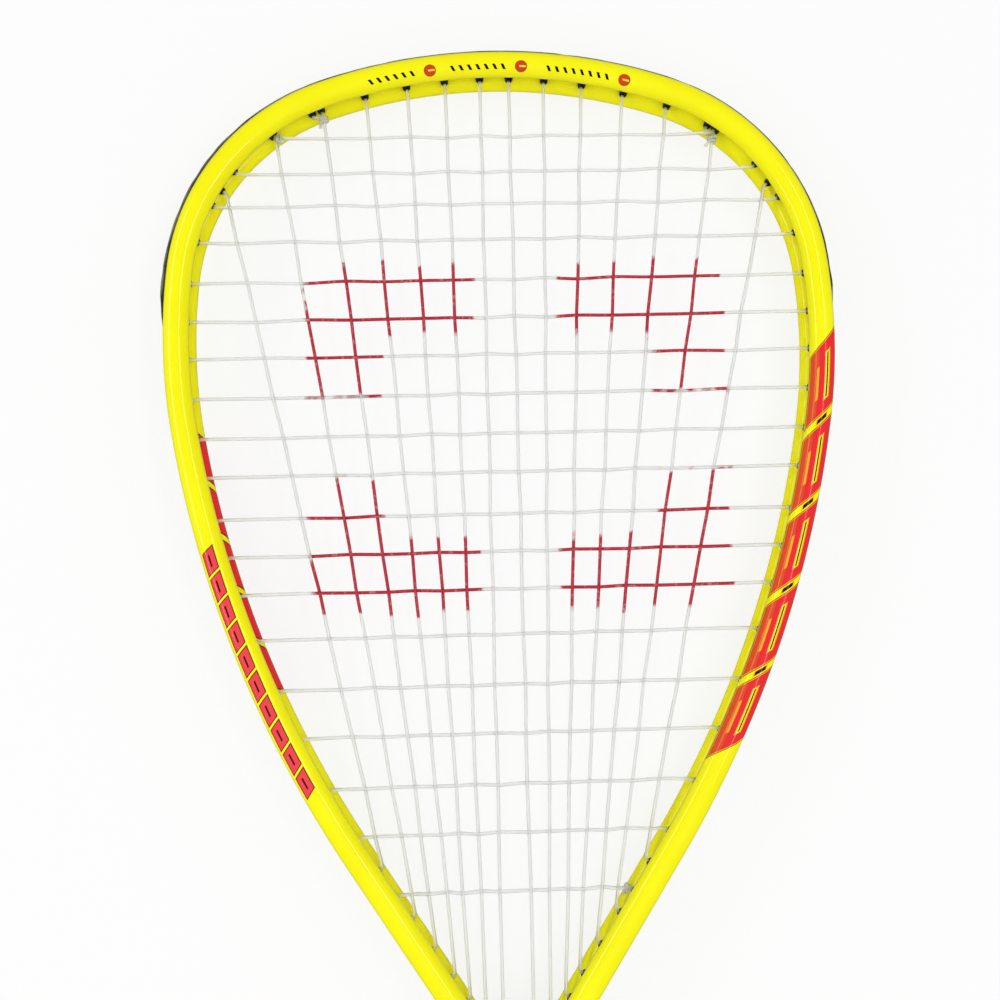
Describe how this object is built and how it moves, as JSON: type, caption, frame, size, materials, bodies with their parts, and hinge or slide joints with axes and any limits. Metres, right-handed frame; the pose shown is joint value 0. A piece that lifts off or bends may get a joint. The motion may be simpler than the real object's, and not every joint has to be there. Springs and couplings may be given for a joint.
{
  "type": "racquetball racket",
  "caption": "Teardrop racquetball racket: yellow double-lobe tube frame, fanned strings, black bumper guard, throat yoke and a wrapped octagonal grip with a flared butt cap.",
  "frame": {"origin": "centre of the footprint, on the plane that the butt cap's lip lies on when the racket lies flat", "axes": "+Y along the racket towards the crown of the head, +Z square to the strings, +X to the right"},
  "size_m": [0.2614, 0.5588, 0.0337],
  "materials": {
    "frame_paint": "gloss",
    "guard_nylon": "satin",
    "string_nylon": "gloss",
    "core_beech": "matte",
    "plug_rubber": "matte",
    "pallet_foam": "matte",
    "screw_steel": "satin",
    "cap_rubber": "satin",
    "grip_wrap": "matte",
    "tape_vinyl": "satin"
  },
  "bodies": {
    "root": {"frame_tube": "frame_paint", "bumper_guard": "guard_nylon", "grommet_strip_right": "guard_nylon", "grommet_strip_left": "guard_nylon", "throat_yoke": "guard_nylon", "main_string": "string_nylon", "cross_string": "string_nylon", "handle_core": "core_beech", "leg_plug_right": "plug_rubber", "leg_plug_left": "plug_rubber", "handle_pallet_right": "pallet_foam", "handle_pallet_left": "pallet_foam", "butt_cap_screw_right": "screw_steel", "butt_cap_screw_left": "screw_steel", "pallet_screw_1": "screw_steel", "pallet_screw_2": "screw_steel", "pallet_screw_3": "screw_steel", "butt_cap": "cap_rubber", "grip_wrap": "grip_wrap", "finishing_tape": "tape_vinyl", "grip_collar": "cap_rubber"}
  },
  "joints": []
}
